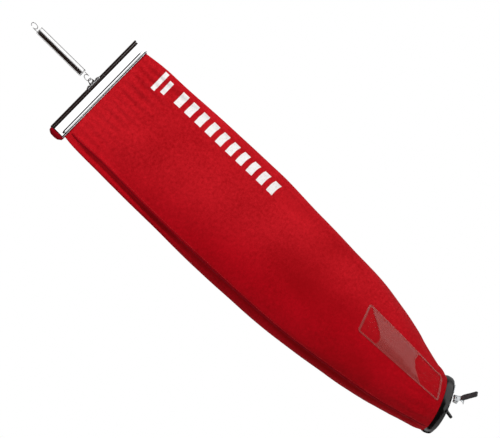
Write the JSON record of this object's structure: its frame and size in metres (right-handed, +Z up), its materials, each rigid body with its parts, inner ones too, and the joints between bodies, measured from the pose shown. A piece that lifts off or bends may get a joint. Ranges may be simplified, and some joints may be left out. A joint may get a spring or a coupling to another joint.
{
  "type": "vacuum cleaner outer dust bag",
  "caption": "Cloth outer dust bag for an upright vacuum cleaner, hung from a spring, closed at the top by a slide clip, with a tilted latching collar at its mouth.",
  "frame": {"origin": "centre of the spring's upper eye, where the bag hangs", "axes": "+Z up, -Y out of the bag's front, +X to the right as seen from the front"},
  "size_m": [0.2089, 0.1248, 0.9085],
  "materials": {
    "spring_steel": "bright",
    "clip_chrome": "polished",
    "rivet_steel": "bright",
    "bag_cloth": "woven",
    "hem_rod_plastic": "plain",
    "clear_vinyl": "clear soft vinyl",
    "zinc_steel": "zinc plated",
    "sleeve_plastic": "moulded",
    "cuff_plastic": "gloss",
    "gasket_rubber": "matt",
    "grip_plastic": "satin"
  },
  "bodies": {
    "spring_top": {"spring_upper_eye": "spring_steel", "spring_coil": "spring_steel"},
    "spring_foot": {"spring_lower_eye": "spring_steel"},
    "clip": {"clip_channel": "clip_chrome", "clip_hanger_tab": "clip_chrome", "tab_rivets": "rivet_steel"},
    "bag": {"top_hem": "bag_cloth", "hem_rod": "hem_rod_plastic", "front_panel": "bag_cloth", "back_panel": "bag_cloth", "left_seam": "bag_cloth", "right_seam": "bag_cloth", "label_pocket": "clear_vinyl", "neck_hem": "bag_cloth", "neck_band": "zinc_steel", "collar_sleeve": "sleeve_plastic", "collar_cuff": "cuff_plastic", "collar_gasket": "gasket_rubber", "collar_rivets": "rivet_steel", "locating_peg": "cuff_plastic", "latch_bracket": "zinc_steel", "latch_rivets": "rivet_steel", "latch_pin": "rivet_steel", "latch_spring": "spring_steel", "rear_hook": "zinc_steel", "rear_hook_rivets": "rivet_steel"},
    "latch": {"latch_lever": "zinc_steel", "lever_grip": "grip_plastic", "latch_claw": "zinc_steel"}
  },
  "joints": [
    {"name": "spring_stretch", "type": "slide", "parent": "spring_top", "child": "spring_foot", "axis": [0, 0, -1], "range_m": [0, 0.08], "stiffness_N_per_m": 300, "springref_m": -0.05, "deforming": ["spring_coil"]},
    {"name": "clip_swing", "type": "hinge", "parent": "spring_foot", "child": "clip", "pos_m": [0, 0, -0.12055], "axis": [0, 1, 0], "range_deg": [-70, 70]},
    {"name": "clip_slide", "type": "slide", "parent": "clip", "child": "bag", "axis": [-1, 0, 0], "range_m": [0, 0.2]},
    {"name": "latch_release", "type": "hinge", "parent": "bag", "child": "latch", "pos_m": [0.03866, -0.04698, -0.88212], "axis": [-0.6983, -0.6691, -0.2542], "range_deg": [0, 40], "stiffness_Nm_per_rad": 0.12, "springref_deg": -22.92}
  ]
}
